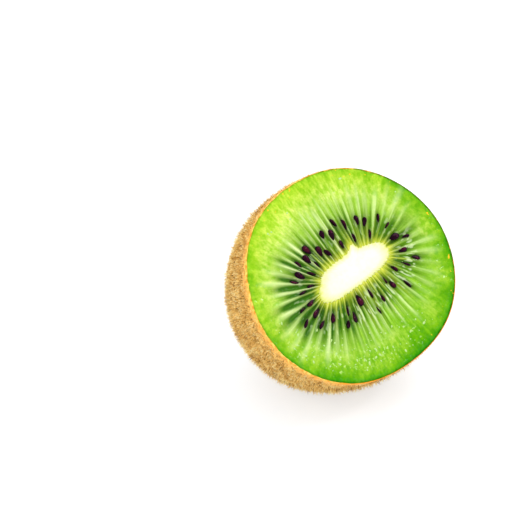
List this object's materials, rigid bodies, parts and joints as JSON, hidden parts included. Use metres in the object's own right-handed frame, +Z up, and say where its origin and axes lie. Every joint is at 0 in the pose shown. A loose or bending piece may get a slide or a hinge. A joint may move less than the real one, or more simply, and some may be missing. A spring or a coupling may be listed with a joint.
{
  "type": "kiwi fruit half",
  "caption": "Half a kiwi fruit with its furry brown skin, lying on its side: oval green cut face with dark seeds round a pale core.",
  "frame": {"origin": "middle of the small flat spot that the half rests on", "axes": "+Z up; the cut face looks towards -Y and up, its oval lying lengthways along X"},
  "size_m": [0.0547, 0.0482, 0.0488],
  "materials": {
    "flesh": "moist green flesh with paler rays, darker just under the skin",
    "core": "creamy white, moist",
    "skin": "dry tan-brown skin with short fuzz",
    "seed": "glossy purple-black"
  },
  "bodies": {
    "root": {"flesh": "flesh", "core": "core"}
  },
  "joints": []
}
